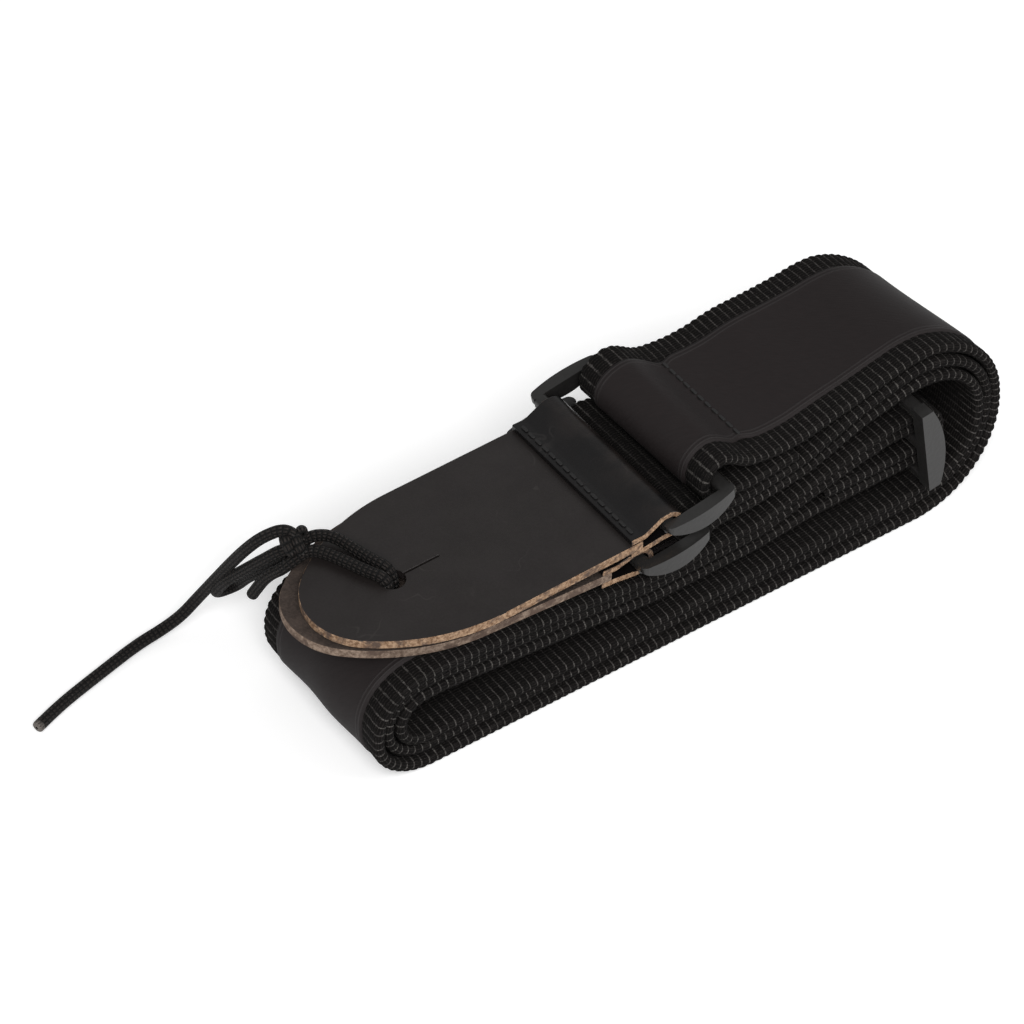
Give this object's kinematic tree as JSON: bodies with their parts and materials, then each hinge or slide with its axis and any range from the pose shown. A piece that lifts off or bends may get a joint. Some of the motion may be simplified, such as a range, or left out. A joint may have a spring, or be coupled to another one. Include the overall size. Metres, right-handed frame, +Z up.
{
  "type": "instrument shoulder strap",
  "caption": "Black woven shoulder strap for an instrument, rolled flat, with a slider, plastic loops, leather button-hole tabs and a tied lace.",
  "frame": {"origin": "centre of the bundle's footprint, on the surface that it lies on", "axes": "+X along the rolled strap from the leather tabs to the slider, +Y across the webbing, +Z up"},
  "size_m": [0.2464, 0.0769, 0.05],
  "materials": {
    "webbing": "matte woven",
    "satin": "smooth satin",
    "leather": "smooth, dyed, with tan cut edges",
    "leather_band": "smooth, dyed",
    "thread": "waxed thread",
    "plastic": "moulded, satin gloss",
    "lace": "braided"
  },
  "bodies": {
    "strap": {"webbing_strap": "webbing", "satin_ribbon": "satin", "eye_stitching": "thread"},
    "upper_loop": {"upper_loop": "plastic"},
    "upper_end": {"upper_tab": "leather", "upper_band": "leather_band", "upper_tab_stitching": "thread", "lace_bow": "lace", "lace_far_strand": "lace", "lace_knot": "lace", "lace_near_strand": "lace", "lace_short_end": "lace", "lace_tail": "lace"},
    "lower_loop": {"lower_loop": "plastic"},
    "lower_end": {"lower_tab": "leather", "lower_band": "leather_band", "lower_tab_stitching": "thread"},
    "slider": {"slider": "plastic"}
  },
  "joints": [
    {"name": "upper_loop_lift", "type": "hinge", "parent": "strap", "child": "upper_loop", "pos_m": [0.00992, 0, 0.0408], "axis": [0, 1, 0], "range_deg": [0, 60]},
    {"name": "upper_tab_lift", "type": "hinge", "parent": "upper_loop", "child": "upper_end", "pos_m": [-0.00644, 0, 0.03796], "axis": [0, 1, 0], "range_deg": [0, 100]},
    {"name": "lower_loop_lift", "type": "hinge", "parent": "strap", "child": "lower_loop", "pos_m": [0.00272, 0, 0.0307], "axis": [0, 1, 0], "range_deg": [0, 30]},
    {"name": "lower_tab_lift", "type": "hinge", "parent": "lower_loop", "child": "lower_end", "pos_m": [-0.01376, 0, 0.02864], "axis": [0, 1, 0], "range_deg": [0, 60]},
    {"name": "slider_tilt", "type": "hinge", "parent": "strap", "child": "slider", "pos_m": [0.07062, 0, 0.0243], "axis": [0, 1, 0], "range_deg": [-6, 6]}
  ],
  "couplings": [
    {"joint": "lower_loop_lift", "follows": "upper_loop_lift", "ratio": 0.5},
    {"joint": "lower_tab_lift", "follows": "upper_tab_lift", "ratio": 0.6}
  ]
}
